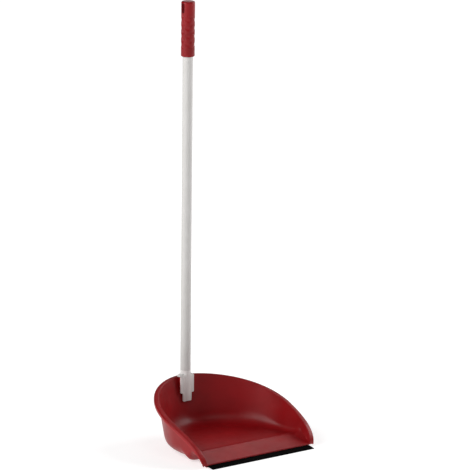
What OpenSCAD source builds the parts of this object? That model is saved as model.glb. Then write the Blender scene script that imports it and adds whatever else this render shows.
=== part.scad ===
// Upright dustpan: a moulded pan with a rubber lip, and a tube handle that clips into its back wall.
// Millimetres, +Z up. The open edge faces -Y and the handle stands at the back, towards +Y.
// The origin is on the floor, under the middle of the whole object.

/* [Pan] */
// Greatest width, over the rim
pan_w = 304; // [290:2:320]
// Depth from the front edge of the ramp to the back of the rim
pan_d = 248; // [240:1:260]
// Width over the rim at the front edge
front_w = 283; // [275:1:290]
// Distance of the widest place behind the front edge
widest_d = 90; // [82:1:96]
// Height of the rim at the back
rim_h = 119.5; // [112:0.5:125]
// Height of the rim at the widest place
rim_side_h = 74; // [68:1:80]
// Thickness of the moulded wall
wall = 2.4; // [2:0.1:3]
// Lean of the walls away from upright, in degrees
lean = 10; // [6:1:13]
// Width of the flange round the rim
flange_w = 10; // [8:0.5:12]
// Depth of the turned-down edge of the flange
flange_drop = 6.5; // [5:0.5:9]
// Height of the pan's inner floor
floor_h = 18; // [16:0.5:18.5]
// Radius of the round between the inner floor and the back wall
floor_round = 28; // [24:1:30]
// Radius of the round between the inner floor and the side walls
side_round = 13; // [12:0.5:15]
// How far the outside's round reaches under the floor at the sides
under_side = 54; // [50:1:56]
// How far it reaches under the floor at the back
under_back = 15; // [12:1:20]

/* [Ramp and lip] */
// Height of the ramp's front edge
edge_h = 7.2; // [7:0.1:8]
// Height of the ramp's ridge
ridge_h = 21; // [20:0.5:23]
// Distance of the ridge behind the front edge
ridge_d = 42; // [38:1:46]
// How far the rubber lip reaches in front of the ramp
lip_reach = 17; // [14:1:20]

/* [Handle] */
// Height of the whole object
total_h = 880; // [800:5:1000]
// Outside diameter of the sheathed tube
tube_d = 21; // [20.6:0.1:21.4]
// Wall of the steel tube
steel_t = 0.4; // [0.3:0.05:0.5]
// Wall of the plastic sheath on the tube
sheath_t = 0.4; // [0.3:0.05:0.5]
// Length of the hand grip
grip_l = 110.5; // [105:0.5:120]
// Diameter of the hand grip
grip_d = 27.5; // [26:0.5:30]
// Height of the hanging slot in the grip
hang_h = 21; // [18:1:22]
// Width of the hanging slot
hang_w = 9; // [8:0.5:10]

/* [Connector] */
// Width of the connector's front plate
plate_w = 33; // [32:0.5:34]
// Height of the front plate, from its shoulders to its top
plate_h = 38.5; // [36:0.5:41]
// Width of the tongue below the plate
tongue_w = 22; // [20:0.5:24]
// Length of the tongue
tongue_l = 17; // [14:1:18]
// Thickness of the front plate
plate_t = 3; // [2.5:0.1:3.5]
// Distance from the front of the plate to the back of the connector
saddle_d = 13; // [12:0.2:14]

/* [Hidden] */
$fn = 72;
EPS = 0.01;

// Frame: the whole depth, lip included, is centred on Y = 0
front_y = lip_reach - (pan_d + lip_reach) / 2;
plate_y = front_y + pan_d - 23.5;      // front face of the connector's plate
tube_y = plate_y + 7;                  // axis of the tube

// Handle seat: a pocket on the inside of the back wall, open at the top
fit = 0.2;                             // gap between the connector and the pan
seat_top = rim_h + 0.2;
seat_y = plate_y + plate_t + fit;      // front face of the seat
seat_t = 2.4;                          // front wall of the seat
pocket_y = seat_y + seat_t;            // front of the pocket
seat_w = plate_w - 3.2;
pocket_w = seat_w - 5.8;
pocket_floor = 90;
shoulder_z = 86.5;                     // where the seat narrows to the rib behind the tongue
rib_w = tongue_w - 3.2;
seat_bottom = 71;

// Lip: width, and the bead on its edge as [distance behind the front edge, height]
lip_w = front_w - 24;
bead = [4.4, 3.1];
bead_r = 1.45;

// Heights along the handle
saddle_z = seat_top + 0.1;             // underside of the part that hooks over the seat
saddle_t = 4;
plate_top = saddle_z + saddle_t;
collar_h = 8;
tube_z = plate_top + collar_h;         // lower end of the tube
grip_z = total_h - grip_l;
hang_z = total_h - 2.4 - hang_h / 2;
tube_top = hang_z - hang_h / 2 - 8;
tube_r = tube_d / 2;
steel_r = tube_r - sheath_t;
bore_r = steel_r - steel_t;

// Outer edge of the rim from the front corner to the back, as two cubic curves
rim_front = [
    [front_w / 2, 0, edge_h + 1.2],
    [front_w / 2 + 5.7, 0.5, edge_h + 29],
    [pan_w / 2, widest_d - 40, rim_side_h - 16.8],
    [pan_w / 2, widest_d, rim_side_h]
];
rim_back = [
    [pan_w / 2, widest_d, rim_side_h],
    [pan_w / 2, pan_d * 0.76, rim_h - 10],
    [pan_w * 0.19, pan_d, rim_h],
    [0, pan_d, rim_h]
];
FRONT_STEPS = 18;
BACK_STEPS = 20;
STEPS = FRONT_STEPS + BACK_STEPS;      // from a front corner to the middle of the back
ROUND_STEPS = 6;                       // along the round at the foot of the wall
DROP_L = 20;                           // from the ridge to the level behind it

function ease(t) = let(c = min(1, max(0, t))) c * c * (3 - 2 * c);
function curve(p, t) = pow(1 - t, 3) * p[0] + 3 * t * pow(1 - t, 2) * p[1]
    + 3 * t * t * (1 - t) * p[2] + pow(t, 3) * p[3];
function slope(p, t) = pow(1 - t, 2) * (p[1] - p[0]) + 2 * t * (1 - t) * (p[2] - p[1])
    + t * t * (p[3] - p[2]);

// Rim point of a step, and the level direction in which the wall is sectioned there
function rim_at(i) = i <= FRONT_STEPS
    ? curve(rim_front, i / FRONT_STEPS)
    : curve(rim_back, (i - FRONT_STEPS) / BACK_STEPS);
function rim_slope(i) = i <= FRONT_STEPS
    ? slope(rim_front, i / FRONT_STEPS)
    : slope(rim_back, (i - FRONT_STEPS) / BACK_STEPS);
function section_dir(i) = let(
    s = rim_slope(i),
    normal = [s.y, -s.x] / norm([s.x, s.y]),
    turn = ease(i / FRONT_STEPS),
    g = (1 - turn) * [1, 0] + turn * normal
) g / norm(g);

// Height of the ramp's upper face, and of what follows behind its ridge: it eases to a level
function ramp_z(d) = edge_h + (ridge_h - edge_h) * max(0, d) / ridge_d;
function behind_ridge(d, from, level) = from + (level - from) * ease((d - ridge_d) / DROP_L);

// Height of the floor's upper face and of its underside, which stands on the ground behind the ramp
function floor_z(d) = d < ridge_d ? ramp_z(d) : behind_ridge(d, ridge_h, floor_h);
function under_z(d) = d < ridge_d ? ramp_z(d) - wall : behind_ridge(d, ridge_h - wall, 0);

// Rounds at the foot of the wall, inside and outside, each as
// [length along the floor, how much of it stays low, height]
function inner_round(i) = let(
    d = rim_at(i).y,
    grow = (floor_round - side_round) * ease((d - 80) / 100),
    run = 2 + (side_round - 2) * min(1, d / 28) + grow
) [run, run / 3, 0.5 + 10 * ease(d / 40) + 1.2 * grow];
function outer_round(i) = let(
    d = rim_at(i).y,
    run = under_side + (under_back - under_side) * ease((d - 100) / (pan_d - 100)),
    share = ease((d - ridge_d) / (2 * DROP_L))
) (1 - share) * inner_round(i) + share * [run, 0.37 * run, 30];

// Corners of a round's cubic curve: it leaves the floor level and meets the leaning wall
function round_corners(p, round, low, out) = let(
    h = p.z - low,
    rise = min(round[2], 0.7 * h),
    foot = out - h * tan(lean)
) [[foot - round[0], low], [foot - round[1], low],
    [foot + rise / 3 * tan(lean), low + rise / 3], [foot + rise * tan(lean), low + rise]];
function wall_round(p, round, low, out) =
    [for (k = [0:ROUND_STEPS]) curve(round_corners(p, round, low, out), k / ROUND_STEPS)];

// Distance behind the front edge of the place where a round leaves the floor
function foot_d(p, g, run, low) = p.y - (flange_w + (p.z - low) * tan(lean) + run) * g.y;

// Section of the shell: [distance outwards from the flange's inner edge, height], from the floor
// out over the flange, then back under it to the underside of the floor
function section(i) = let(
    p = rim_at(i),
    g = section_dir(i),
    inner = inner_round(i),
    outer = outer_round(i),
    zf = floor_z(foot_d(p, g, inner[0], floor_z(p.y))),
    zu = under_z(foot_d(p, g, outer[0], under_z(p.y))),
    drop = min(flange_drop, 1.2 + (p.z - zf) / 2),
    under = wall_round(p, outer, zu, wall)
) concat(
    wall_round(p, inner, zf, 0),
    [
        [-0.25, p.z - 1],
        [0.6, p.z],
        [flange_w - 2.4, p.z - 0.5],
        [flange_w - 0.7, p.z - 1],
        [flange_w, p.z - 1.6 - drop / 8],
        [flange_w, p.z - drop - wall / 2],
        [flange_w - wall, p.z - drop - wall / 2],
        [flange_w - wall, p.z - 1.6 - wall],
        [flange_w - wall - 0.5, p.z - 1.2 - wall],
        [flange_w - wall - 1.6, p.z - 0.7 - wall],
        [wall + 0.5, p.z - wall],
        [wall - 0.2, p.z - 0.8 - wall]
    ],
    [for (k = [ROUND_STEPS:-1:0]) under[k]]
);

// Point n outwards from the flange's inner edge at a step; steps past the middle of the back are
// the mirrored other side
function step_of(k) = k <= STEPS ? k : 2 * STEPS - k;
function plan_point(k, n) = let(
    i = step_of(k),
    p = rim_at(i),
    g = section_dir(i)
) [(k <= STEPS ? 1 : -1) * (p.x + (n - flange_w) * g.x), front_y + p.y + (n - flange_w) * g.y];

// Loop of one section in space
function loop(k) = [for (q = section(step_of(k))) concat(plan_point(k, q.x), q.y)];

module shell() {
    n = len(section(0));
    last = 2 * STEPS;
    points = [for (k = [0:last]) each loop(k)];
    sides = [for (k = [0:last - 1], j = [0:n - 2], half = [0, 1]) half == 0
        ? [k * n + j, (k + 1) * n + j, (k + 1) * n + j + 1]
        : [k * n + j, (k + 1) * n + j + 1, k * n + j + 1]];
    floor_top = [for (k = [0:STEPS - 2])
        [k * n, (last - k) * n, (last - k - 1) * n, (k + 1) * n]];
    floor_under = [for (k = [0:STEPS - 2])
        [k * n + n - 1, (k + 1) * n + n - 1, (last - k) * n - 1, (last - k + 1) * n - 1]];
    back_tips = [
        [(STEPS - 1) * n, (STEPS + 1) * n, STEPS * n],
        [STEPS * n - 1, (STEPS + 1) * n - 1, (STEPS + 2) * n - 1]
    ];
    front_edge = [concat([for (j = [0:n - 1]) j], [for (j = [n - 1:-1:0]) last * n + j])];
    polyhedron(points, concat(sides, floor_top, floor_under, back_tips, front_edge));
}

// Thin plate cut out along the steps from first to its mirror, at one height
module level_plate(z, first, reach) {
    translate([0, 0, z])
        linear_extrude(EPS)
            polygon([for (k = [first:2 * STEPS - first]) plan_point(k, reach[k - first])]);
}

// The space inside the back wall, grown outwards by grow from the wall's inner face
module inside_back(grow) {
    first = FRONT_STEPS + BACK_STEPS / 2;
    hull()
        for (z = [seat_bottom - 20, seat_top + 10])
            level_plate(z, first, [for (k = [first:2 * STEPS - first])
                grow - (rim_at(step_of(k)).z - z) * tan(lean)]);
}

// Distance outwards of the outside's face at a height, behind the ramp
function outside_at(i, z) = let(
    corners = round_corners(rim_at(i), outer_round(i), 0, wall),
    end = corners[3]
) z > end.y ? end.x + (z - end.y) * tan(lean) : curve(corners, sqrt(z / end.y)).x;

// Hollow under the floor, open below; the rim left round it is what the pan stands on
module recess() {
    first = max([for (i = [0:FRONT_STEPS]) if (rim_at(i).y < ridge_d + DROP_L + 6) i]) + 1;
    steps = [for (k = [first:2 * STEPS - first]) step_of(k)];
    hull() {
        level_plate(-1, first, [for (i = steps) outside_at(i, 0) - 3]);
        level_plate(floor_h - wall - EPS, first, [for (i = steps) outside_at(i, floor_h - wall) - 5]);
    }
}

// Outline of the connector's plate and tongue seen from the front, from z = 0 at the top
module plate_outline() {
    top_r = 5;
    low_r = 2;
    hull() {
        for (x = [-1, 1]) {
            translate([x * (plate_w / 2 - top_r), -top_r]) circle(top_r);
            translate([x * (plate_w / 2 - low_r), -plate_h + low_r]) circle(low_r);
        }
    }
    hull()
        for (x = [-1, 1]) {
            translate([x * (tongue_w / 2 - low_r), -plate_h]) circle(low_r);
            translate([x * (tongue_w / 2 - low_r - 0.6), -plate_h - tongue_l + low_r]) circle(low_r);
        }
}

module upright(y, depth) {
    translate([0, y + depth, 0]) rotate([90, 0, 0]) linear_extrude(depth) children();
}

// Pocket on the inside of the back wall that the connector drops into
module seat() {
    difference() {
        intersection() {
            inside_back(wall / 2);
            upright(seat_y, 60)
                union() {
                    translate([-seat_w / 2, shoulder_z]) square([seat_w, seat_top - shoulder_z]);
                    translate([-rib_w / 2, seat_bottom]) square([rib_w, shoulder_z - seat_bottom + 1]);
                }
        }
        intersection() {
            inside_back(-EPS);
            translate([-pocket_w / 2, pocket_y, pocket_floor]) cube([pocket_w, 60, 80]);
        }
    }
}

// Extrudes an outline along X; its x is the distance behind the front edge and its y the height
module across(w) {
    translate([-w / 2, front_y, 0]) rotate([90, 0, 90]) linear_extrude(w) children();
}

// Bar under the ramp's front edge, with a groove for the lip's bead that is open to the front
module nose_bar() {
    across(lip_w + 2)
        difference() {
            polygon([[0.3, edge_h - 1.2], [9, edge_h + 1.6], [9, 3], [7.5, 0.8], [1.5, 0.8], [0.3, 1.4]]);
            translate(bead) circle(bead_r + 0.05);
            polygon([[-1, bead.y - 1.3], [bead.x, bead.y - 0.9], [bead.x, bead.y + 0.9],
                [-1, bead.y + 1.4]]);
        }
}

module pan() {
    color("#8c1419") {
        difference() {
            shell();
            recess();
        }
        seat();
        nose_bar();
    }
}

// Rubber strip: a bead in the ramp's groove and a blade that comes down to the floor
module rubber_lip() {
    color("#161616")
        across(lip_w) {
            translate(bead) circle(bead_r);
            polygon([[bead.x, bead.y - 0.8], [bead.x, bead.y + 0.8], [-0.2, bead.y + 1.2],
                [-lip_reach, 0.9], [-lip_reach, 0], [-lip_reach + 1.5, 0], [-0.2, bead.y - 1.1]]);
        }
}

// Boss that carries the tube's round down onto the plate and the tongue, narrowing as it goes.
// Each station is [height below the plate's top, half width, how far it stands out in front]
module boss() {
    stations = [[0.5, 12.5, 3.3], [12, 10.3, 3], [24, 8, 2.2], [34, 6.5, 1.2], [54, 6, 0.8]];
    intersection() {
        union()
            for (j = [0:len(stations) - 2])
                hull()
                    for (s = [stations[j], stations[j + 1]])
                        translate([0, plate_y + plate_t / 2, plate_top - s[0]])
                            scale([s[1], s[2] + plate_t / 2, 1]) cylinder(h = EPS, r = 1);
        translate([-plate_w / 2, plate_y - 10, 0]) cube([plate_w, 10 + plate_t / 2, plate_top]);
    }
}

// Saddle that hooks over the seat: plate in front, spade behind, collar and spigot for the tube
module connector() {
    spade_w = pocket_w - 1;
    spade_y = pocket_y + fit;
    spade_bottom = pocket_floor + 2;
    wall_y = front_y + pan_d - flange_w - 1.7;    // wall's inner face at the spade's edges, at the rim
    spigot_h = collar_h + 42;
    color("#d9d7d5")
        difference() {
            union() {
                translate([0, 0, plate_top]) upright(plate_y, plate_t) plate_outline();
                intersection() {
                    translate([0, 0, plate_top]) upright(plate_y, saddle_d) plate_outline();
                    translate([-plate_w, plate_y, saddle_z]) cube([2 * plate_w, saddle_d, saddle_t]);
                }
                boss();
                translate([-spade_w / 2, 0, 0])
                    rotate([90, 0, 90])
                        linear_extrude(spade_w)
                            polygon([
                                [spade_y, saddle_z + EPS], [spade_y, spade_bottom],
                                [wall_y - (rim_h - spade_bottom) * tan(lean), spade_bottom],
                                [wall_y, saddle_z + EPS]
                            ]);
                translate([0, tube_y, plate_top - 1]) cylinder(h = collar_h + 1 - EPS, r = tube_r);
                translate([0, tube_y, plate_top - EPS]) cylinder(h = spigot_h, r = bore_r - 0.05);
            }
            translate([0, tube_y, plate_top + 3]) cylinder(h = spigot_h, r = bore_r - 2.6);
        }
}

module ring(z, h, outer, inner) {
    translate([0, tube_y, z])
        difference() {
            cylinder(h = h, r = outer);
            translate([0, 0, -1]) cylinder(h = h + 2, r = inner);
        }
}

module steel_tube() {
    color("#9aa0a4") ring(tube_z, tube_top - tube_z, steel_r, bore_r);
}

module tube_sheath() {
    color("#e6e4e2") ring(tube_z, tube_top - tube_z, tube_r, steel_r);
}

// Moulded grip pushed over the top of the tube, closed above it and pierced by the hanging slot
module hand_grip() {
    r = grip_d / 2;
    edge = 2.5;
    color("#8c1419")
        difference() {
            translate([0, tube_y, grip_z])
                rotate_extrude()
                    union() {
                        square([r, grip_l - edge]);
                        translate([0, edge]) square([r - edge, grip_l - edge]);
                        translate([r - edge, grip_l - edge]) circle(edge, $fn = 32);
                    }
            translate([0, tube_y, grip_z - 1]) cylinder(h = tube_top - grip_z + 1.05, r = tube_r + 0.05);
            for (z = [hang_z - (hang_h - hang_w) / 2, hang_z + (hang_h - hang_w) / 2])
                translate([-r - 1, tube_y, z]) rotate([0, 90, 0]) cylinder(h = 2 * r + 2, r = hang_w / 2);
            translate([-r - 1, tube_y - hang_w / 2, hang_z - (hang_h - hang_w) / 2])
                cube([2 * r + 2, hang_w, hang_h - hang_w]);
        }
}

pan();
rubber_lip();
connector();
steel_tube();
tube_sheath();
hand_grip();
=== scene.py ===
import math

import bmesh
import bpy
from mathutils import Matrix, Vector


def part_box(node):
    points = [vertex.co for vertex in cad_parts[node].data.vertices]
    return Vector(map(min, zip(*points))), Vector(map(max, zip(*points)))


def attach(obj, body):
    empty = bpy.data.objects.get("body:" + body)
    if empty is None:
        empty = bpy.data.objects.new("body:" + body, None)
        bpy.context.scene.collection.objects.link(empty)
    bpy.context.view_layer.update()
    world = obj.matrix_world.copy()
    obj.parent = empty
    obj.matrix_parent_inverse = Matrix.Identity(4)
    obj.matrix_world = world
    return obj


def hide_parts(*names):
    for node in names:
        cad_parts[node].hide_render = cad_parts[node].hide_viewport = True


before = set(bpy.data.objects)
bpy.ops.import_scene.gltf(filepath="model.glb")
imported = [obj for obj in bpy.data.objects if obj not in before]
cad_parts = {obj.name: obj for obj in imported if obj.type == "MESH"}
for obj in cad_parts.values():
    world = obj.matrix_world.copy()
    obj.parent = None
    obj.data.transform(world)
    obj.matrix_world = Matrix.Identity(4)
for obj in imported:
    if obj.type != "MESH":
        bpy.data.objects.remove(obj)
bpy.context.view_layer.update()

MM = 0.001
MERGE = 0.0005                                     # corners closer than this are one

# ---------------------------------------------------------------- places, from the frame
def box_mm(node):
    """Lowest and highest corner of a CAD node, in millimetres."""
    low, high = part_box(node)
    return low / MM, high / MM


pan_low, pan_high = box_mm("pan")
lip_low, lip_high = box_mm("rubber_lip")
con_low, con_high = box_mm("connector")
tube_low, tube_high = box_mm("tube_sheath")
steel_low, steel_high = box_mm("steel_tube")
grip_low, grip_high = box_mm("hand_grip")

FRONT_Y = pan_low.y                                # front edge of the ramp
PAN_W = pan_high.x - pan_low.x
PAN_D = pan_high.y - pan_low.y
SEAT_TOP = pan_high.z
RIM_H = SEAT_TOP - 0.2                             # the seat stands a little above the rim
TUBE_Y = (tube_low.y + tube_high.y) / 2
TUBE_R = (tube_high.x - tube_low.x) / 2
STEEL_R = (steel_high.x - steel_low.x) / 2
PLATE_Y = TUBE_Y - 7                               # front face of the connector's plate
PLATE_W = con_high.x - con_low.x
TUBE_Z = tube_low.z


# ---------------------------------------------------------------- mesh helpers
def new_object(name, bm):
    """A mesh object at the origin from a bmesh in millimetres."""
    bmesh.ops.scale(bm, vec=(MM, MM, MM), verts=bm.verts)
    mesh = bpy.data.meshes.new(name)
    bm.to_mesh(mesh)
    bm.free()
    obj = bpy.data.objects.new(name, mesh)
    bpy.context.scene.collection.objects.link(obj)
    return obj


def settle(obj, sharp_deg=40):
    """Turns an object's modifiers into its mesh, smooth shaded but for its crisp edges."""
    bpy.context.view_layer.update()
    shape = obj.evaluated_get(bpy.context.evaluated_depsgraph_get())
    mesh = bpy.data.meshes.new_from_object(shape)
    obj.modifiers.clear()
    obj.data = mesh
    mesh.shade_smooth()
    mesh.set_sharp_from_angle(angle=math.radians(sharp_deg))
    return obj


def combine(base, tool, operation):
    """Joins a second solid to the first, keeps what they share or cuts it out, then drops it."""
    mod = base.modifiers.new("combine", "BOOLEAN")
    mod.operation = operation
    mod.solver = "EXACT"
    mod.object = tool
    settle(base)
    bpy.data.objects.remove(tool)
    return base


def round_edges(obj, width, segments=3, angle_deg=40):
    """Rounds every edge sharper than the angle, as a mould leaves it. The width is in millimetres."""
    mod = obj.modifiers.new("round", "BEVEL")
    mod.width = width * MM
    mod.segments = segments
    mod.profile = 0.5
    mod.limit_method = "ANGLE"
    mod.angle_limit = math.radians(angle_deg)
    return settle(obj)


def prism(name, outline, push):
    """A solid from a closed outline of points, pushed along a vector."""
    bm = bmesh.new()
    face = bm.faces.new([bm.verts.new(p) for p in outline])
    pushed = bmesh.ops.extrude_face_region(bm, geom=[face])
    verts = [g for g in pushed["geom"] if isinstance(g, bmesh.types.BMVert)]
    bmesh.ops.translate(bm, vec=push, verts=verts)
    bmesh.ops.recalc_face_normals(bm, faces=bm.faces)
    return new_object(name, bm)


def block(name, low, high):
    """A box between two corners."""
    bm = bmesh.new()
    bmesh.ops.create_cube(bm, size=1)
    bmesh.ops.scale(bm, vec=Vector(high) - Vector(low), verts=bm.verts)
    bmesh.ops.translate(bm, vec=(Vector(high) + Vector(low)) / 2, verts=bm.verts)
    return new_object(name, bm)


def turned(name, profile, y, sides=96, closed=True):
    """A round solid: a profile of (radius, height) spun about the upright line at X = 0 and y."""
    bm = bmesh.new()
    verts = [bm.verts.new((r, 0, z)) for r, z in profile]
    edges = [bm.edges.new(pair) for pair in zip(verts, verts[1:])]
    if closed:
        edges.append(bm.edges.new((verts[-1], verts[0])))
    bmesh.ops.spin(bm, geom=verts + edges, axis=(0, 0, 1), cent=(0, 0, 0), steps=sides,
                   angle=2 * math.pi, use_merge=True)
    bmesh.ops.remove_doubles(bm, verts=bm.verts, dist=MERGE)
    bmesh.ops.recalc_face_normals(bm, faces=bm.faces)
    bmesh.ops.translate(bm, vec=(0, y, 0), verts=bm.verts)
    return new_object(name, bm)


def mix(a, b, t):
    return a + (b - a) * t


def ease(t):
    t = min(1.0, max(0.0, t))
    return t * t * (3 - 2 * t)


def line(start, end, steps):
    """Points along a straight stretch, without its start."""
    parts = [k / steps for k in range(1, steps + 1)]
    return [(mix(start[0], end[0], t), mix(start[1], end[1], t)) for t in parts]


def arc(cx, cy, r, start, end, steps):
    """Points of an arc in a plane, its angles in degrees."""
    angles = [math.radians(mix(start, end, k / steps)) for k in range(steps + 1)]
    return [(cx + r * math.cos(a), cy + r * math.sin(a)) for a in angles]


# ---------------------------------------------------------------- pan shell
EDGE_H = 7.2                                       # ramp's front edge
RIDGE_H, RIDGE_D = 21.0, 42.0                      # ramp's ridge: height, distance behind the front edge
FRONT_W = 283.0                                    # width over the rim at the front edge
WIDEST_D = 90.0
RIM_SIDE_H = 74.0                                  # rim height at the widest place
WALL = 2.4
FLANGE_W, FLANGE_DROP = 10.0, 7.7
FLANGE_FALL = 0.9                                  # how much lower the flange is at its outer edge
FLANGE_ROUND = 2.6
RIM_ROUND = 1.2                                    # between the wall's inner face and the flange
FLOOR_H = 18.0                                     # level floor behind the ridge
DROP_L = 20.0                                      # from the ridge to that level
LEAN = math.tan(math.radians(10))

# Rounds inside at the foot of the wall: radius at the sides and the back, where it starts to grow
# and over what length
SIDE_ROUND, FLOOR_ROUND = 13.0, 28.0
GROW_D, GROW_L = 80.0, 100.0
GROW_RISE = 1.2                                    # how much it rises for each millimetre that it grows
CORNER_RUN, CORNER_RISE = 2.0, 0.5                 # the round at the front corner
SIDE_RISE, SIDE_RISE_D = 10.0, 40.0                # its height at the sides, reached this far back
FACET_D, FACET_FADE = 28.0, 16.0                   # flat facet beside the ramp, and how it fades
FACET_FLAT = 0.9

# Rounds outside: how far they reach under the floor at the sides and the back, and their height
UNDER_SIDE, UNDER_BACK, UNDER_RISE = 54.0, 15.0, 30.0
UNDER_LOW = 0.37                                   # share of the reach that stays low
UNDER_D = 100.0                                    # where the reach starts to shrink
MAX_RISE = 0.7                                     # highest that a round may go, as a share of the wall

# The rim's outer edge from a front corner to the middle of the back, as two cubic curves of
# (half width, distance behind the front edge, height)
RIM_FRONT = [Vector(p) for p in (
    (FRONT_W / 2, 0, EDGE_H + 1.2),
    (FRONT_W / 2 + 5.7, 0.5, EDGE_H + 29),
    (PAN_W / 2, WIDEST_D - 40, RIM_SIDE_H - 16.8),
    (PAN_W / 2, WIDEST_D, RIM_SIDE_H),
)]
RIM_BACK = [Vector(p) for p in (
    (PAN_W / 2, WIDEST_D, RIM_SIDE_H),
    (PAN_W / 2, PAN_D * 0.76, RIM_H - 10),
    (PAN_W * 0.19, PAN_D, RIM_H),
    (0, PAN_D, RIM_H),
)]
FRONT_ROWS, BACK_ROWS = 56, 64
ROWS = FRONT_ROWS + BACK_ROWS
FLOOR_COLUMNS = 30
ROUND_STEPS = 16


def cubic(p, t):
    s = 1 - t
    return s ** 3 * p[0] + 3 * t * s * s * p[1] + 3 * t * t * s * p[2] + t ** 3 * p[3]


def cubic_slope(p, t):
    s = 1 - t
    return s * s * (p[1] - p[0]) + 2 * t * s * (p[2] - p[1]) + t * t * (p[3] - p[2])


def rim_row(i):
    """Rim point of a row, and the level direction outwards in which the wall is sectioned there."""
    if i <= FRONT_ROWS:
        part, t = RIM_FRONT, i / FRONT_ROWS
    else:
        part, t = RIM_BACK, (i - FRONT_ROWS) / BACK_ROWS
    slope = cubic_slope(part, t)
    normal = Vector((slope.y, -slope.x)).normalized()
    turn = ease(i / FRONT_ROWS)
    return cubic(part, t), ((1 - turn) * Vector((1, 0)) + turn * normal).normalized()


def behind_ridge(d, start, level):
    return mix(start, level, ease((d - RIDGE_D) / DROP_L))


def ramp_height(d):
    return mix(EDGE_H, RIDGE_H, max(0.0, d) / RIDGE_D)


def floor_height(d):
    """Upper face of the floor: the ramp, its ridge and the level floor behind it."""
    return ramp_height(d) if d < RIDGE_D else behind_ridge(d, RIDGE_H, FLOOR_H)


def under_height(d):
    """Underside of the floor, which comes down to the ground behind the ramp."""
    return ramp_height(d) - WALL if d < RIDGE_D else behind_ridge(d, RIDGE_H - WALL, 0)


def inner_round(d):
    """Round inside at the foot of the wall: length along the floor, how much of it stays low, height."""
    grow = (FLOOR_ROUND - SIDE_ROUND) * ease((d - GROW_D) / GROW_L)
    run = mix(CORNER_RUN, SIDE_ROUND, min(1, d / FACET_D)) + grow
    return Vector((run, run / 3, CORNER_RISE + SIDE_RISE * ease(d / SIDE_RISE_D) + GROW_RISE * grow))


def outer_round(d):
    """The same for the outside, which follows the inside as far back as the ridge."""
    run = mix(UNDER_SIDE, UNDER_BACK, ease((d - UNDER_D) / (PAN_D - UNDER_D)))
    under = Vector((run, UNDER_LOW * run, UNDER_RISE))
    return inner_round(d).lerp(under, ease((d - RIDGE_D) / (2 * DROP_L)))


def round_corners(p, size, low, out):
    """Corners of a round's cubic curve: it leaves the floor level and meets the leaning wall."""
    h = p.z - low
    rise = min(size.z, MAX_RISE * h)
    foot = Vector((out - h * LEAN, low))
    return [foot - Vector((size.x, 0)), foot - Vector((size.y, 0)),
            foot + Vector((LEAN, 1)) * rise / 3, foot + Vector((LEAN, 1)) * rise]


def wall_round(p, g, size, height_at, out, flat):
    """Points of a round from the floor up to the wall; flat makes it a facet instead."""
    reach = FLANGE_W + (p.z - height_at(p.y)) * LEAN + size.x
    corners = round_corners(p, size, height_at(p.y - reach * g.y), out)
    for k in (1, 2):
        corners[k] = corners[k].lerp(corners[0].lerp(corners[3], k / 3), flat)
    return [tuple(cubic(corners, k / ROUND_STEPS)) for k in range(ROUND_STEPS + 1)]


def section(i):
    """The shell across the rim as points (distance outwards from the flange's inner edge, height):
    its upper face from the floor out, then its lower face from the floor out."""
    p, g = rim_row(i)
    flat = mix(FACET_FLAT, 0, ease((p.y - FACET_D) / FACET_FADE))
    upper = wall_round(p, g, inner_round(p.y), floor_height, 0, flat)
    h = p.z - upper[0][1]
    bend = min(RIM_ROUND, 0.2 * h)
    upper += line(upper[-1], (-bend * LEAN, p.z - bend), 6)
    upper += arc(upper[-1][0] + bend, p.z - bend, bend, 180, 92, 6)[1:]
    outer_n = FLANGE_W - FLANGE_ROUND
    upper += line((bend, p.z), (outer_n, p.z - FLANGE_FALL), 4)[:-1]
    edge_top = p.z - FLANGE_FALL - FLANGE_ROUND
    edge_low = min(edge_top - 0.5, p.z - min(FLANGE_DROP, 4 + h / 3))
    upper += arc(outer_n, edge_top, FLANGE_ROUND, 84, 0, 7)
    upper += line((FLANGE_W, edge_top), (FLANGE_W, edge_low), 3)
    lower = wall_round(p, g, outer_round(p.y), under_height, WALL, flat)
    under_flange = p.z - WALL - 0.8
    inside = FLANGE_W - WALL
    lower += line(lower[-1], ((under_flange - 1 - p.z) * LEAN + WALL, under_flange - 1), 6)
    lower += [
        (WALL + 0.6, under_flange),
        ((WALL + inside) / 2, p.z - WALL - FLANGE_FALL),
        (inside - 1.2, under_flange - 0.4),
        (inside, min(under_flange - 1.6, edge_low + 1)),
        (inside, edge_low),
    ]
    return upper, lower


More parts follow.
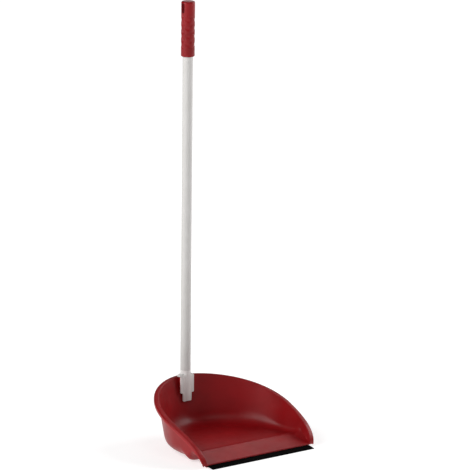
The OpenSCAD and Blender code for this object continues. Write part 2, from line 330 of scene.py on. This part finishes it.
def build_shell():
    """One closed skin over the sections: the floor, the wall, the flange and their undersides."""
    rows = [section(i) for i in range(ROWS + 1)]
    rims = [rim_row(i) for i in range(ROWS + 1)]

    def place(i, point, sign):
        p, g = rims[i]
        n, z = point
        out = n - FLANGE_W
        return Vector((sign * (p.x + out * g.x), FRONT_Y + p.y + out * g.y, z))

    def ring(i):
        upper, lower = rows[i]
        floor = [place(i, upper[0], -1).lerp(place(i, upper[0], 1), k / FLOOR_COLUMNS)
                 for k in range(1, FLOOR_COLUMNS)]
        under = [place(i, lower[0], 1).lerp(place(i, lower[0], -1), k / FLOOR_COLUMNS)
                 for k in range(1, FLOOR_COLUMNS)]
        return ([place(i, q, -1) for q in reversed(upper)] + floor + [place(i, q, 1) for q in upper]
                + [place(i, q, 1) for q in reversed(lower)] + under + [place(i, q, -1) for q in lower])

    rings = [ring(i) for i in range(ROWS + 1)]
    columns = len(rings[0])
    bm = bmesh.new()
    bmesh.ops.create_grid(bm, x_segments=columns, y_segments=ROWS, size=1)
    for v in bm.verts:
        j = round((v.co.x + 1) / 2 * columns) % columns
        v.co = rings[round((v.co.y + 1) / 2 * ROWS)][j]
    bmesh.ops.remove_doubles(bm, verts=bm.verts, dist=MERGE)
    bmesh.ops.dissolve_degenerate(bm, edges=bm.edges, dist=MERGE)
    bmesh.ops.holes_fill(bm, edges=[e for e in bm.edges if e.is_boundary], sides=0)
    bmesh.ops.recalc_face_normals(bm, faces=bm.faces)
    return settle(new_object("pan_moulding", bm))


def outside_at(i, z):
    """Distance outwards of the outside's face at a height, behind the ramp."""
    p, _ = rim_row(i)
    corners = round_corners(p, outer_round(p.y), 0, WALL)
    end = corners[3]
    if z > end.y:
        return end.x + (z - end.y) * LEAN
    return cubic(corners, math.sqrt(z / end.y)).x


STAND_W = 3.0                                      # width of the rim that the pan stands on
HOLLOW_SIDE = 5.0                                  # plastic left beside the top of the hollow
HOLLOW_D = RIDGE_D + DROP_L + 6                    # where the hollow starts


def build_recess():
    """Hollow under the floor, open below, inside the rim that the pan stands on."""
    bm = bmesh.new()
    top = FLOOR_H - WALL
    for i in range(ROWS + 1):
        p, g = rim_row(i)
        if p.y < HOLLOW_D:
            continue
        for z, at, inset in ((-1, 0, STAND_W), (top, top, HOLLOW_SIDE)):
            n = outside_at(i, at) - inset - FLANGE_W
            for sign in (-1, 1):
                bm.verts.new((sign * (p.x + n * g.x), FRONT_Y + p.y + n * g.y, z))
    bmesh.ops.remove_doubles(bm, verts=bm.verts, dist=MERGE)
    hull = bmesh.ops.convex_hull(bm, input=bm.verts)
    loose = [g for g in hull["geom_interior"] if isinstance(g, bmesh.types.BMVert)]
    bmesh.ops.delete(bm, geom=loose, context="VERTS")
    bmesh.ops.recalc_face_normals(bm, faces=bm.faces)
    return new_object("recess", bm)


# ---------------------------------------------------------------- seat and nose bar of the pan
FIT = 0.2                                          # gap between the connector and the pan
PLATE_T = 3.0
SEAT_Y = PLATE_Y + PLATE_T + FIT                   # front face of the seat
SEAT_T = 2.4
POCKET_Y = SEAT_Y + SEAT_T
SEAT_HALF = PLATE_W / 2 - 1.6
POCKET_HALF = SEAT_HALF - 2.9
POCKET_FLOOR = 90.0
SHOULDER_Z = 86.5                                  # where the seat narrows to the rib behind the tongue
TONGUE_W = 22.0
SEAT_LOW = 71.0
SEAT_REACH = 40.0                                  # takes it through the back wall, to be cut there
WEDGE_HALF, WEDGE_OVER = 60.0, 5.0                 # the cutting wedge: half width, how far it goes past
POCKET_OPEN = 140.0                                # height that the pocket is cut to, above the pan


def build_seat():
    """Pocket on the inside of the back wall, open at the top, with a rib below behind the tongue."""
    rib = TONGUE_W / 2 - 1.6
    seat = prism("seat", [
        (-SEAT_HALF, SEAT_Y, SEAT_TOP), (-SEAT_HALF, SEAT_Y, SHOULDER_Z), (-rib, SEAT_Y, SHOULDER_Z),
        (-rib, SEAT_Y, SEAT_LOW), (rib, SEAT_Y, SEAT_LOW), (rib, SEAT_Y, SHOULDER_Z),
        (SEAT_HALF, SEAT_Y, SHOULDER_Z), (SEAT_HALF, SEAT_Y, SEAT_TOP),
    ], (0, SEAT_REACH, 0))
    # a wedge that ends inside the leaning, curved back wall
    wall_top = FRONT_Y + PAN_D - FLANGE_W + WALL / 2
    wall_low = wall_top - (RIM_H - SEAT_LOW) * LEAN
    front_y, low, high = SEAT_Y - WEDGE_OVER, SEAT_LOW - WEDGE_OVER, RIM_H + WEDGE_OVER
    wedge = prism("wedge", [
        (-WEDGE_HALF, front_y, low),
        (-WEDGE_HALF, wall_low - WEDGE_OVER * LEAN, low),
        (-WEDGE_HALF, wall_top + WEDGE_OVER * LEAN, high),
        (-WEDGE_HALF, front_y, high),
    ], (2 * WEDGE_HALF, 0, 0))
    combine(seat, wedge, "INTERSECT")
    pocket = block("pocket", (-POCKET_HALF, POCKET_Y, POCKET_FLOOR),
                   (POCKET_HALF, POCKET_Y + SEAT_REACH, POCKET_OPEN))
    combine(seat, pocket, "DIFFERENCE")
    return seat


LIP_W = lip_high.x - lip_low.x
BEAD_D, BEAD_Z, BEAD_R = 4.4, 3.1, 1.45


def build_nose_bar():
    """Bar under the ramp's front edge, with the groove that holds the lip's bead."""
    half = LIP_W / 2 + 1
    outline = [(0.3, 6.0), (9, 8.8), (9, 3), (7.5, 0.8), (1.5, 0.8), (0.3, 1.4)]
    bar = prism("nose_bar", [(-half, FRONT_Y + d, z) for d, z in outline], (2 * half, 0, 0))
    bore = arc(BEAD_D, BEAD_Z, BEAD_R + 0.05, 140, -140, 24)
    outline = [(-1, BEAD_Z + 1.4)] + bore + [(-1, BEAD_Z - 1.3)]
    groove = prism("groove", [(-half - 1, FRONT_Y + d, z) for d, z in outline], (2 * half + 2, 0, 0))
    return combine(bar, groove, "DIFFERENCE")


pan = build_shell()
combine(pan, build_recess(), "DIFFERENCE")
round_edges(pan, 0.4, segments=2, angle_deg=60)
combine(pan, build_seat(), "UNION")
combine(pan, build_nose_bar(), "UNION")


# ---------------------------------------------------------------- rubber lip
def build_lip():
    """Extruded rubber strip: a bead in the pan's groove and a thinning blade that reaches the floor."""
    reach = FRONT_Y - lip_low.y
    neck_d = BEAD_D - 1.2
    blade = (
        [(neck_d, BEAD_Z + 0.8)]
        + arc(BEAD_D, BEAD_Z, BEAD_R, 146, -146, 24)[1:-1]
        + [(neck_d, BEAD_Z - 0.8), (-0.2, BEAD_Z - 1.1), (-reach + 1.5, 0), (-reach, 0), (-reach, 0.9),
           (-0.2, BEAD_Z + 1.2)]
    )
    lip = prism("lip_strip", [(-LIP_W / 2, FRONT_Y + d, z) for d, z in blade], (LIP_W, 0, 0))
    return round_edges(lip, 0.25, segments=2, angle_deg=50)


lip = build_lip()

# ---------------------------------------------------------------- connector
SADDLE_T = 4.0
SADDLE_D = 13.0                                    # from the front of the plate to the back of the hook
SADDLE_Z = SEAT_TOP + 0.1
PLATE_TOP = SADDLE_Z + SADDLE_T
PLATE_H = 38.5
CORNER_R, TOP_R = 2.0, 5.0                         # corners of the plate, seen from the front
TAPER = 0.6                                        # how much narrower the tongue is at its tip
BORE_R = STEEL_R - 0.4
SPIGOT_TOP = con_high.z
SPIGOT_WALL = 2.55
COLLAR_ROUND = 0.35
SPADE_WALL_GAP = 1.7                               # between the spade and the wall's slope

# Boss that carries the tube's round down onto the plate, narrowing to a rib on the tongue:
# (distance below the plate's top, half width, how far it stands out in front)
BOSS = ((54, 6.0, 0.8), (34, 6.5, 1.2), (24, 8.0, 2.2), (12, 10.3, 3.0), (0.5, 12.5, 3.3))


def loft(name, rings):
    """A closed solid through level ovals of (z, centre y, half width, half depth)."""
    bm = bmesh.new()
    loops = []
    for z, y, half_x, half_y in rings:
        made = bmesh.ops.create_circle(bm, segments=64, radius=1)["verts"]
        bmesh.ops.scale(bm, vec=(half_x, half_y, 1), verts=made)
        bmesh.ops.translate(bm, vec=(0, y, z), verts=made)
        loops.append(made)
    for low, high in zip(loops, loops[1:]):
        edges = {e for v in low + high for e in v.link_edges}
        level = [e for e in edges if abs(e.verts[0].co.z - e.verts[1].co.z) < 1e-6]
        bmesh.ops.bridge_loops(bm, edges=level)
    for ends in (loops[0], loops[-1]):
        bm.faces.new(ends)
    bmesh.ops.recalc_face_normals(bm, faces=bm.faces)
    return new_object(name, bm)


def build_spade():
    """Blade that goes down into the pocket, with its back along the slope of the pan's wall."""
    left, top, low = -POCKET_HALF + 0.5, SADDLE_Z + 0.5, POCKET_FLOOR + 2
    front_y = POCKET_Y + FIT
    back_y = FRONT_Y + PAN_D - FLANGE_W - SPADE_WALL_GAP
    spade = prism("spade", [
        (left, front_y, top),
        (left, front_y, low),
        (left, back_y - (RIM_H - low) * LEAN, low),
        (left, back_y, top),
    ], (-2 * left, 0, 0))
    return round_edges(spade, 0.6, segments=2)


def build_spigot():
    """Collar below the tube, and the hollow spigot inside it."""
    r_out, r_in = BORE_R - 0.05, BORE_R - 0.05 - SPIGOT_WALL
    floor, foot = PLATE_TOP + 3, PLATE_TOP - 1
    return turned("spigot", [
        (r_in, floor), (r_in, SPIGOT_TOP), (r_out - 0.8, SPIGOT_TOP), (r_out, SPIGOT_TOP - 1.5),
        (r_out, TUBE_Z), (TUBE_R - COLLAR_ROUND, TUBE_Z), (TUBE_R, TUBE_Z - COLLAR_ROUND), (TUBE_R, foot),
        (0, foot), (0, floor),
    ], y=TUBE_Y, closed=False)


def build_connector():
    """White saddle: a plate with a tongue, a hook over the seat, a spade in the pocket, a tube spigot."""
    half, tongue = PLATE_W / 2, TONGUE_W / 2
    shoulder, tip = PLATE_TOP - PLATE_H, con_low.z
    top = arc(half - TOP_R, PLATE_TOP - TOP_R, TOP_R, 0, 90, 8)
    right_side = (
        arc(tongue - CORNER_R - TAPER, tip + CORNER_R, CORNER_R, -90, 0, 6) + [(tongue, shoulder - 0.01)]
        + arc(half - CORNER_R, shoulder + CORNER_R, CORNER_R, -90, 0, 6) + top
    )
    outline = right_side + [(-x, z) for x, z in reversed(right_side)]
    saddle = prism("connector_saddle", [(x, PLATE_Y, z) for x, z in outline], (0, PLATE_T, 0))
    over = [(half - 0.01, SADDLE_Z)] + top
    over += [(-x, z) for x, z in reversed(over)]
    hook = prism("hook", [(x, PLATE_Y + 0.5, z) for x, z in over], (0, SADDLE_D - 0.5, 0))
    combine(saddle, hook, "UNION")
    middle = PLATE_T / 2
    boss = loft("boss", [
        (PLATE_TOP - below, PLATE_Y + middle, wide, out + middle) for below, wide, out in BOSS
    ])
    combine(saddle, boss, "UNION")
    round_edges(saddle, 0.7, segments=3, angle_deg=50)
    combine(saddle, build_spade(), "UNION")
    return combine(saddle, build_spigot(), "UNION")


connector = build_connector()


# ---------------------------------------------------------------- tube sheath
def build_sheath():
    """Thin plastic skin on the steel tube, cut square with softened ends."""
    soft = 0.15
    low, high = tube_low.z, tube_high.z
    inner_r = STEEL_R + 0.01
    return turned("handle_sheath", [
        (TUBE_R, high - soft), (TUBE_R, low + soft), (TUBE_R - soft, low), (inner_r, low), (inner_r, high),
        (TUBE_R - soft, high),
    ], y=TUBE_Y, sides=128)


sheath = build_sheath()
settle(sheath)

# ---------------------------------------------------------------- hand grip
GRIP_R = (grip_high.x - grip_low.x) / 2
GRIP_LOW, GRIP_TOP = grip_low.z, grip_high.z
GRIP_TOP_ROUND, GRIP_FOOT_ROUND = 3.2, 2.0
GRIP_ROWS, GRIP_SIDES = 140, 192                   # fine enough for the scallops
TUBE_TOP = tube_high.z
SLOT_W, SLOT_H = 9.0, 21.0
SLOT_MARGIN = 2.4                                  # plastic left above the slot
SLOT_Z = GRIP_TOP - SLOT_MARGIN - SLOT_H / 2
SCALLOPS_ROUND = 4                                 # in one row, staggered from row to row
SCALLOP_PITCH = 16.3                               # between rows in line, with a staggered row between
SCALLOP_DEPTH = 0.85
SCALLOP_SWELL = 0.8                                # below 1 widens each hollow
SCALLOP_FADE = 3.0                                 # length over which they start and end
SCALLOP_LOW = GRIP_LOW + 16                        # plain band below
SCALLOP_HIGH = GRIP_TOP - 28                       # plain end with the hanging slot above


def build_grip():
    """Moulded grip: staggered scallops round the middle, a plain band below, a pierced round end above."""
    foot, top = GRIP_LOW + GRIP_FOOT_ROUND, GRIP_TOP - GRIP_TOP_ROUND
    outline = (
        [(0, TUBE_TOP), (TUBE_R + 0.05, TUBE_TOP), (TUBE_R + 0.05, GRIP_LOW)]
        + arc(GRIP_R - GRIP_FOOT_ROUND, foot, GRIP_FOOT_ROUND, -90, 0, 6)
        + line((GRIP_R, foot), (GRIP_R, top), GRIP_ROWS)[:-1]
        + arc(GRIP_R - GRIP_TOP_ROUND, top, GRIP_TOP_ROUND, 0, 90, 8)
        + [(0, GRIP_TOP)]
    )
    bm = bmesh.new()
    verts = [bm.verts.new((r, 0, z)) for r, z in outline]
    edges = [bm.edges.new(pair) for pair in zip(verts, verts[1:])]
    bmesh.ops.spin(bm, geom=verts + edges, axis=(0, 0, 1), cent=(0, 0, 0), steps=GRIP_SIDES,
                   angle=2 * math.pi, use_merge=True)
    bmesh.ops.remove_doubles(bm, verts=bm.verts, dist=MERGE)
    bmesh.ops.recalc_face_normals(bm, faces=bm.faces)
    for v in bm.verts:
        r = math.hypot(v.co.x, v.co.y)
        if r < GRIP_R - 0.01:
            continue
        z = v.co.z
        fade = ease((z - SCALLOP_LOW) / SCALLOP_FADE) * ease((SCALLOP_HIGH - z) / SCALLOP_FADE)
        around = math.cos(SCALLOPS_ROUND * math.atan2(v.co.y, v.co.x))
        along = math.cos(2 * math.pi * (z - SCALLOP_LOW) / SCALLOP_PITCH)
        shift = -SCALLOP_DEPTH * max(0.0, around * along) ** SCALLOP_SWELL * fade
        v.co.x *= (r + shift) / r
        v.co.y *= (r + shift) / r
    bmesh.ops.translate(bm, vec=(0, TUBE_Y, 0), verts=bm.verts)
    grip = new_object("grip_moulding", bm)
    half, straight = SLOT_W / 2, (SLOT_H - SLOT_W) / 2
    stadium = arc(0, SLOT_Z + straight, half, 0, 180, 16) + arc(0, SLOT_Z - straight, half, 180, 360, 16)
    slot = prism("slot", [(-20, TUBE_Y + y, z) for y, z in stadium], (40, 0, 0))
    return combine(grip, slot, "DIFFERENCE")


grip = build_grip()

# ---------------------------------------------------------------- finishes
COORDINATES, MAPPING, NOISE = "ShaderNodeTexCoord", "ShaderNodeMapping", "ShaderNodeTexNoise"
RANGE, MIX, BUMP = "ShaderNodeMapRange", "ShaderNodeMix", "ShaderNodeBump"
SHADER = "ShaderNodeBsdfPrincipled"
COLOUR_A, COLOUR_B, COLOUR_OUT = 6, 7, 2           # the mix node's colour sockets, which share their names


def linear(hex_colour):
    """An sRGB hex colour as linear RGBA."""
    parts = [int(hex_colour[i:i + 2], 16) / 255 for i in (1, 3, 5)]
    return [c / 12.92 if c <= 0.04045 else ((c + 0.055) / 1.055) ** 2.4 for c in parts] + [1]


def across(size_mm):
    """The scale at which a pattern's features are about this many millimetres across."""
    return 1 / (size_mm * MM)


def add(mat, kind, inputs=None, **settings):
    """Adds a node: settings are its properties; inputs are values for its sockets, or sockets to link."""
    node = mat.node_tree.nodes.new(kind)
    for name, value in settings.items():
        setattr(node, name, value)
    for name, value in (inputs or {}).items():
        if isinstance(value, bpy.types.NodeSocket):
            mat.node_tree.links.new(value, node.inputs[name])
        else:
            node.inputs[name].default_value = value
    return node


def new_material(name):
    mat = bpy.data.materials.new(name)
    mat.use_nodes = True
    mat.node_tree.nodes.clear()
    return mat


def finish_material(mat, shader):
    add(mat, "ShaderNodeOutputMaterial", {"Surface": shader.outputs[0]})
    return mat


def scratches(mat, place, width_mm, length_mm, turn_deg, share):
    """Sparse fine lines: noise squeezed across one direction, cut to its peaks."""
    stretched = add(mat, MAPPING, {
        "Vector": place, "Rotation": (0, 0, math.radians(turn_deg)),
        "Scale": (across(width_mm), across(length_mm), across(length_mm)),
    })
    fine = add(mat, NOISE, {"Vector": stretched.outputs[0], "Scale": 1.0, "Detail": 1.0})
    peaks = add(mat, RANGE, {
        "Value": fine.outputs["Fac"], "From Min": 1 - share, "From Max": 1.05 - share,
    })
    return peaks.outputs[0]


def drawn_lines(mat, place, size_mm, detail):
    """Lines left by drawing or extrusion, as noise with this size in millimetres along X, Y and Z."""
    stretched = add(mat, MAPPING, {"Vector": place, "Scale": tuple(across(mm) for mm in size_mm)})
    lines = add(mat, NOISE, {"Vector": stretched.outputs[0], "Scale": 1.0, "Detail": detail})
    return lines.outputs["Fac"]


def moulded_polypropylene(name, base, light, dark, roughness, grain_mm, scuffs, gloss):
    """Injection-moulded polypropylene: waxy satin skin over a faint tool grain, with flow mottling,
    a painted highlight along its convex edges, and short scuffs that catch the light."""
    mat = new_material(name)
    place = add(mat, COORDINATES).outputs["Object"]
    # darker clouds where the melt flowed
    cloud = add(mat, NOISE, {"Vector": place, "Scale": across(45), "Detail": 3.0})
    flow = add(mat, RANGE, {"Value": cloud.outputs["Fac"], "From Min": 0.35, "From Max": 0.65})
    tint = add(mat, MIX, {
        "Factor": flow.outputs[0], COLOUR_A: linear(base), COLOUR_B: linear(dark),
    }, data_type="RGBA")
    # convex edges painted paler: a painted highlight where light catches the rounded edges
    edges = add(mat, RANGE, {
        "Value": add(mat, "ShaderNodeNewGeometry").outputs["Pointiness"],
        "From Min": 0.52, "From Max": 0.60, "To Max": 0.35,
    })
    # mixes the painted edge highlight into the flow-mottled tint
    tint_and_edge_highlight = add(mat, MIX, {
        "Factor": edges.outputs[0], COLOUR_A: tint.outputs[COLOUR_OUT], COLOUR_B: linear(light),
    }, data_type="RGBA")
    # scuffs two ways, drawn several times wider than real ones of 0.1 mm so that they show
    marks = add(mat, "ShaderNodeMath", {
        0: scratches(mat, place, width_mm=0.5, length_mm=26, turn_deg=28, share=scuffs),
        1: scratches(mat, place, width_mm=0.4, length_mm=18, turn_deg=-37, share=scuffs),
    }, operation="MAXIMUM").outputs[0]
    pale = add(mat, RANGE, {"Value": marks, "To Max": 0.18})
    colour = add(mat, MIX, {
        "Factor": pale.outputs[0], COLOUR_A: tint_and_edge_highlight.outputs[COLOUR_OUT], COLOUR_B: linear(light),
    }, data_type="RGBA")
    wear = add(mat, NOISE, {"Vector": place, "Scale": across(18), "Detail": 4.0})
    patches = add(mat, RANGE, {
        "Value": wear.outputs["Fac"], "From Min": 0.3, "From Max": 0.7,
        "To Min": roughness - 0.05, "To Max": roughness + 0.06,
    })
    dull = add(mat, RANGE, {"Value": marks, "To Max": 0.12})
    rough = add(mat, "ShaderNodeMath", {0: patches.outputs[0], 1: dull.outputs[0]}, operation="ADD")
    # tool grain, really about 0.2 mm, drawn as coarse as it needs to be to show
    grain = add(mat, NOISE, {"Vector": place, "Scale": across(grain_mm), "Detail": 1.0})
    bump = add(mat, BUMP, {"Height": grain.outputs["Fac"], "Distance": 0.02 * MM, "Strength": 0.35})
    shader = add(mat, SHADER, {
        "Base Color": colour.outputs[COLOUR_OUT], "Roughness": rough.outputs[0], "Normal": bump.outputs[0],
        "IOR": 1.49, "Specular IOR Level": gloss,
    })
    return finish_material(mat, shader)


def smooth_sheath(name):
    """Extruded white polyethylene skin: even satin, faint draw lines along the tube, slight yellowing."""
    mat = new_material(name)
    place = add(mat, COORDINATES).outputs["Object"]
    # real draw lines are about 0.1 mm apart; these are coarser so that they show
    lines = drawn_lines(mat, place, (1.111, 1.111, 166.7), detail=2.0)
    cloud = add(mat, NOISE, {"Vector": place, "Scale": across(60), "Detail": 3.0})
    yellowed = add(mat, RANGE, {"Value": cloud.outputs["Fac"], "From Min": 0.35, "From Max": 0.7})
    colour = add(mat, MIX, {
        "Factor": yellowed.outputs[0], COLOUR_A: linear("#C2C0BE"), COLOUR_B: linear("#BCBAB7"),
    }, data_type="RGBA")
    deep = add(mat, RANGE, {"Value": lines, "From Min": 0.55, "From Max": 0.8, "To Max": 0.25})
    shade = add(mat, MIX, {
        "Factor": deep.outputs[0], COLOUR_A: colour.outputs[COLOUR_OUT], COLOUR_B: linear("#ADABA8"),
    }, data_type="RGBA")
    wear = add(mat, NOISE, {"Vector": place, "Scale": across(12), "Detail": 4.0})
    rough = add(mat, RANGE, {
        "Value": wear.outputs["Fac"], "From Min": 0.3, "From Max": 0.7, "To Min": 0.32, "To Max": 0.42,
    })
    bump = add(mat, BUMP, {"Height": lines, "Distance": 0.01 * MM, "Strength": 0.3})
    shader = add(mat, SHADER, {
        "Base Color": shade.outputs[COLOUR_OUT], "Roughness": rough.outputs[0], "Normal": bump.outputs[0],
        "IOR": 1.51,
    })
    return finish_material(mat, shader)


def extruded_rubber(name):
    """Black EPDM strip: matt, with extrusion lines along it and a little pale dust."""
    mat = new_material(name)
    place = add(mat, COORDINATES).outputs["Object"]
    # real extrusion lines are about 0.2 mm apart; these are coarser so that they show
    lines = drawn_lines(mat, place, (125, 1.111, 1.111), detail=2.0)
    specks = add(mat, NOISE, {"Vector": place, "Scale": across(9), "Detail": 6.0, "Roughness": 0.7})
    dust = add(mat, RANGE, {
        "Value": specks.outputs["Fac"], "From Min": 0.56, "From Max": 0.8, "To Max": 0.25,
    })
    colour = add(mat, MIX, {
        "Factor": dust.outputs[0], COLOUR_A: linear("#020202"), COLOUR_B: linear("#0C0B0A"),
    }, data_type="RGBA")
    wear = add(mat, NOISE, {"Vector": place, "Scale": across(5), "Detail": 3.0})
    rough = add(mat, RANGE, {
        "Value": wear.outputs["Fac"], "From Min": 0.3, "From Max": 0.7, "To Min": 0.62, "To Max": 0.82,
    })
    bump = add(mat, BUMP, {"Height": lines, "Distance": 0.03 * MM, "Strength": 0.4})
    shader = add(mat, SHADER, {
        "Base Color": colour.outputs[COLOUR_OUT], "Roughness": rough.outputs[0], "Normal": bump.outputs[0],
        "IOR": 1.52, "Specular IOR Level": 0.02,
    })
    return finish_material(mat, shader)


def welded_steel(name):
    """Thin cold-rolled steel tube, bare inside its sheath: drawn lines along it and light staining."""
    mat = new_material(name)
    place = add(mat, COORDINATES).outputs["Object"]
    # real draw lines are about 0.1 mm apart; these are coarser so that they show
    lines = drawn_lines(mat, place, (0.667, 0.667, 50), detail=3.0)
    stain = add(mat, NOISE, {"Vector": place, "Scale": across(14), "Detail": 4.0})
    stained = add(mat, RANGE, {"Value": stain.outputs["Fac"], "From Min": 0.4, "From Max": 0.7})
    colour = add(mat, MIX, {
        "Factor": stained.outputs[0], COLOUR_A: linear("#B9BCBE"), COLOUR_B: linear("#9A9894"),
    }, data_type="RGBA")
    rough = add(mat, RANGE, {
        "Value": lines, "From Min": 0.3, "From Max": 0.7, "To Min": 0.28, "To Max": 0.45,
    })
    bump = add(mat, BUMP, {"Height": lines, "Distance": 0.01 * MM, "Strength": 0.3})
    shader = add(mat, SHADER, {
        "Base Color": colour.outputs[COLOUR_OUT], "Roughness": rough.outputs[0], "Normal": bump.outputs[0],
        "Metallic": 1.0,
    })
    return finish_material(mat, shader)


red_pan = moulded_polypropylene(
    "satin_red_polypropylene", base="#8E0C12", light="#BE4246", dark="#820A0F",
    roughness=0.38, grain_mm=1.6, scuffs=0.25, gloss=0.26)
red_grip = moulded_polypropylene(
    "ribbed_red_polypropylene", base="#860A10", light="#B03A40", dark="#76080D",
    roughness=0.36, grain_mm=1.4, scuffs=0.2, gloss=0.24)
white_saddle = moulded_polypropylene(
    "satin_white_polypropylene", base="#DDDAD8", light="#ECEAE8", dark="#D5D2CF",
    roughness=0.42, grain_mm=1.4, scuffs=0.2, gloss=0.4)
white_sheath = smooth_sheath("drawn_white_polyethylene")
black_rubber = extruded_rubber("matt_black_epdm")
bare_steel = welded_steel("cold_rolled_steel")

# ---------------------------------------------------------------- pieces on their bodies
for piece, body, node, slot_name, material in (
    (pan, "pan_body", "pan", "pan_plastic", red_pan),
    (lip, "pan_body", "rubber_lip", "lip_rubber", black_rubber),
    (connector, "handle", "connector", "connector_plastic", white_saddle),
    (sheath, "handle", "tube_sheath", "sheath_plastic", white_sheath),
    (grip, "handle", "hand_grip", "grip_plastic", red_grip),
):
    piece.data.materials.clear()
    piece.data.materials.append(material)
    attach(piece, body)
    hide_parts(node)

steel_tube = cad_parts["steel_tube"]
steel_tube.data.materials.clear()
steel_tube.data.materials.append(bare_steel)

# ---------------------------------------------------------------- floor, light and camera
FLOOR_SIZE = 60000.0                               # reaches past the edges of every view
FLOOR_GAP = 0.3                                    # keeps the floor clear of the pan's underside
NEAR_DIM, FAR_BRIGHT = 0.3, 2.2                    # metres from the middle of the floor
GLOW_NEAR, GLOW_FAR = 0.60, 1.0
MIDDLE = (0, 0, 0.25)                              # what the lights face, in metres
AIM = (0, 0.0095, 0.440)                           # near the middle of the dustpan, in metres
AIM_RIGHT, AIM_DOWN = 0.0287, 0.0123               # from there to the middle of the view


def studio_floor():
    """Plain white floor that glows from within like a light table, less so round the object, where its
    shadow shows, and large enough to fill every view."""
    bm = bmesh.new()
    bmesh.ops.create_grid(bm, x_segments=1, y_segments=1, size=FLOOR_SIZE)
    bmesh.ops.translate(bm, vec=(0, 0, -FLOOR_GAP), verts=bm.verts)
    floor = new_object("studio_floor", bm)
    mat = new_material("matt_white_light_table")
    place = add(mat, COORDINATES).outputs["Object"]
    away = add(mat, "ShaderNodeVectorMath", {"Vector": place}, operation="LENGTH")
    glow = add(mat, RANGE, {
        "Value": away.outputs["Value"], "From Min": NEAR_DIM, "From Max": FAR_BRIGHT,
        "To Min": GLOW_NEAR, "To Max": GLOW_FAR,
    })
    shader = add(mat, SHADER, {
        "Base Color": linear("#CACACA"), "Roughness": 1.0,
        "Emission Color": linear("#FFFFFF"), "Emission Strength": glow.outputs[0],
    })
    floor.data.materials.append(finish_material(mat, shader))


def towards(azimuth, elevation):
    """Unit vector from the object towards a viewer; azimuth 0 is in front and grows to the right."""
    a, e = math.radians(azimuth), math.radians(elevation)
    return Vector((math.sin(a) * math.cos(e), -math.cos(a) * math.cos(e), math.sin(e)))


def soft_light(name, azimuth, elevation, distance, size, power):
    """A square area light that faces the dustpan; distance and size in metres."""
    away = towards(azimuth, elevation)
    data = bpy.data.lights.new(name, "AREA")
    data.shape = "SQUARE"
    data.size = size
    data.energy = power
    light = bpy.data.objects.new(name, data)
    light.location = Vector(MIDDLE) + away * distance
    light.rotation_euler = away.to_track_quat("Z", "Y").to_euler()
    bpy.context.scene.collection.objects.link(light)


def soft_sky(strength):
    """Even white light from all round."""
    world = bpy.data.worlds.new("studio")
    world.use_nodes = True
    sky = world.node_tree.nodes["Background"].inputs
    sky["Color"].default_value = linear("#FFFFFF")
    sky["Strength"].default_value = strength
    bpy.context.scene.world = world


def camera(azimuth, elevation, roll, distance, lens):
    """Long lens far off, to the front left and a little above, with a slight roll."""
    a, tilt = math.radians(azimuth), math.radians(roll)
    back = towards(azimuth, elevation)
    right = Vector((math.cos(a), math.sin(a), 0))
    up = back.cross(right)
    aim = Vector(AIM) + right * AIM_RIGHT - up * AIM_DOWN
    data = bpy.data.cameras.new("camera")
    data.lens = lens
    data.sensor_width = 36
    data.clip_end = 100
    cam = bpy.data.objects.new("camera", data)
    cam.location = aim + back * distance
    turned_right = right * math.cos(tilt) + up * math.sin(tilt)
    turned_up = up * math.cos(tilt) - right * math.sin(tilt)
    cam.rotation_euler = Matrix((turned_right, turned_up, back)).transposed().to_euler()
    bpy.context.scene.collection.objects.link(cam)
    bpy.context.scene.camera = cam


studio_floor()
soft_sky(0.07)
soft_light("key_left", azimuth=-96, elevation=30, distance=2.6, size=2.0, power=58)
soft_light("fill_right", azimuth=74, elevation=28, distance=2.8, size=1.8, power=56)
soft_light("back_right", azimuth=128, elevation=38, distance=2.8, size=1.6, power=8)
soft_light("front", azimuth=-20, elevation=50, distance=3.0, size=1.2, power=7)
camera(azimuth=-39.54, elevation=12.85, roll=0.55, distance=10.206, lens=396.6)
bpy.context.scene.view_settings.view_transform = "Standard"
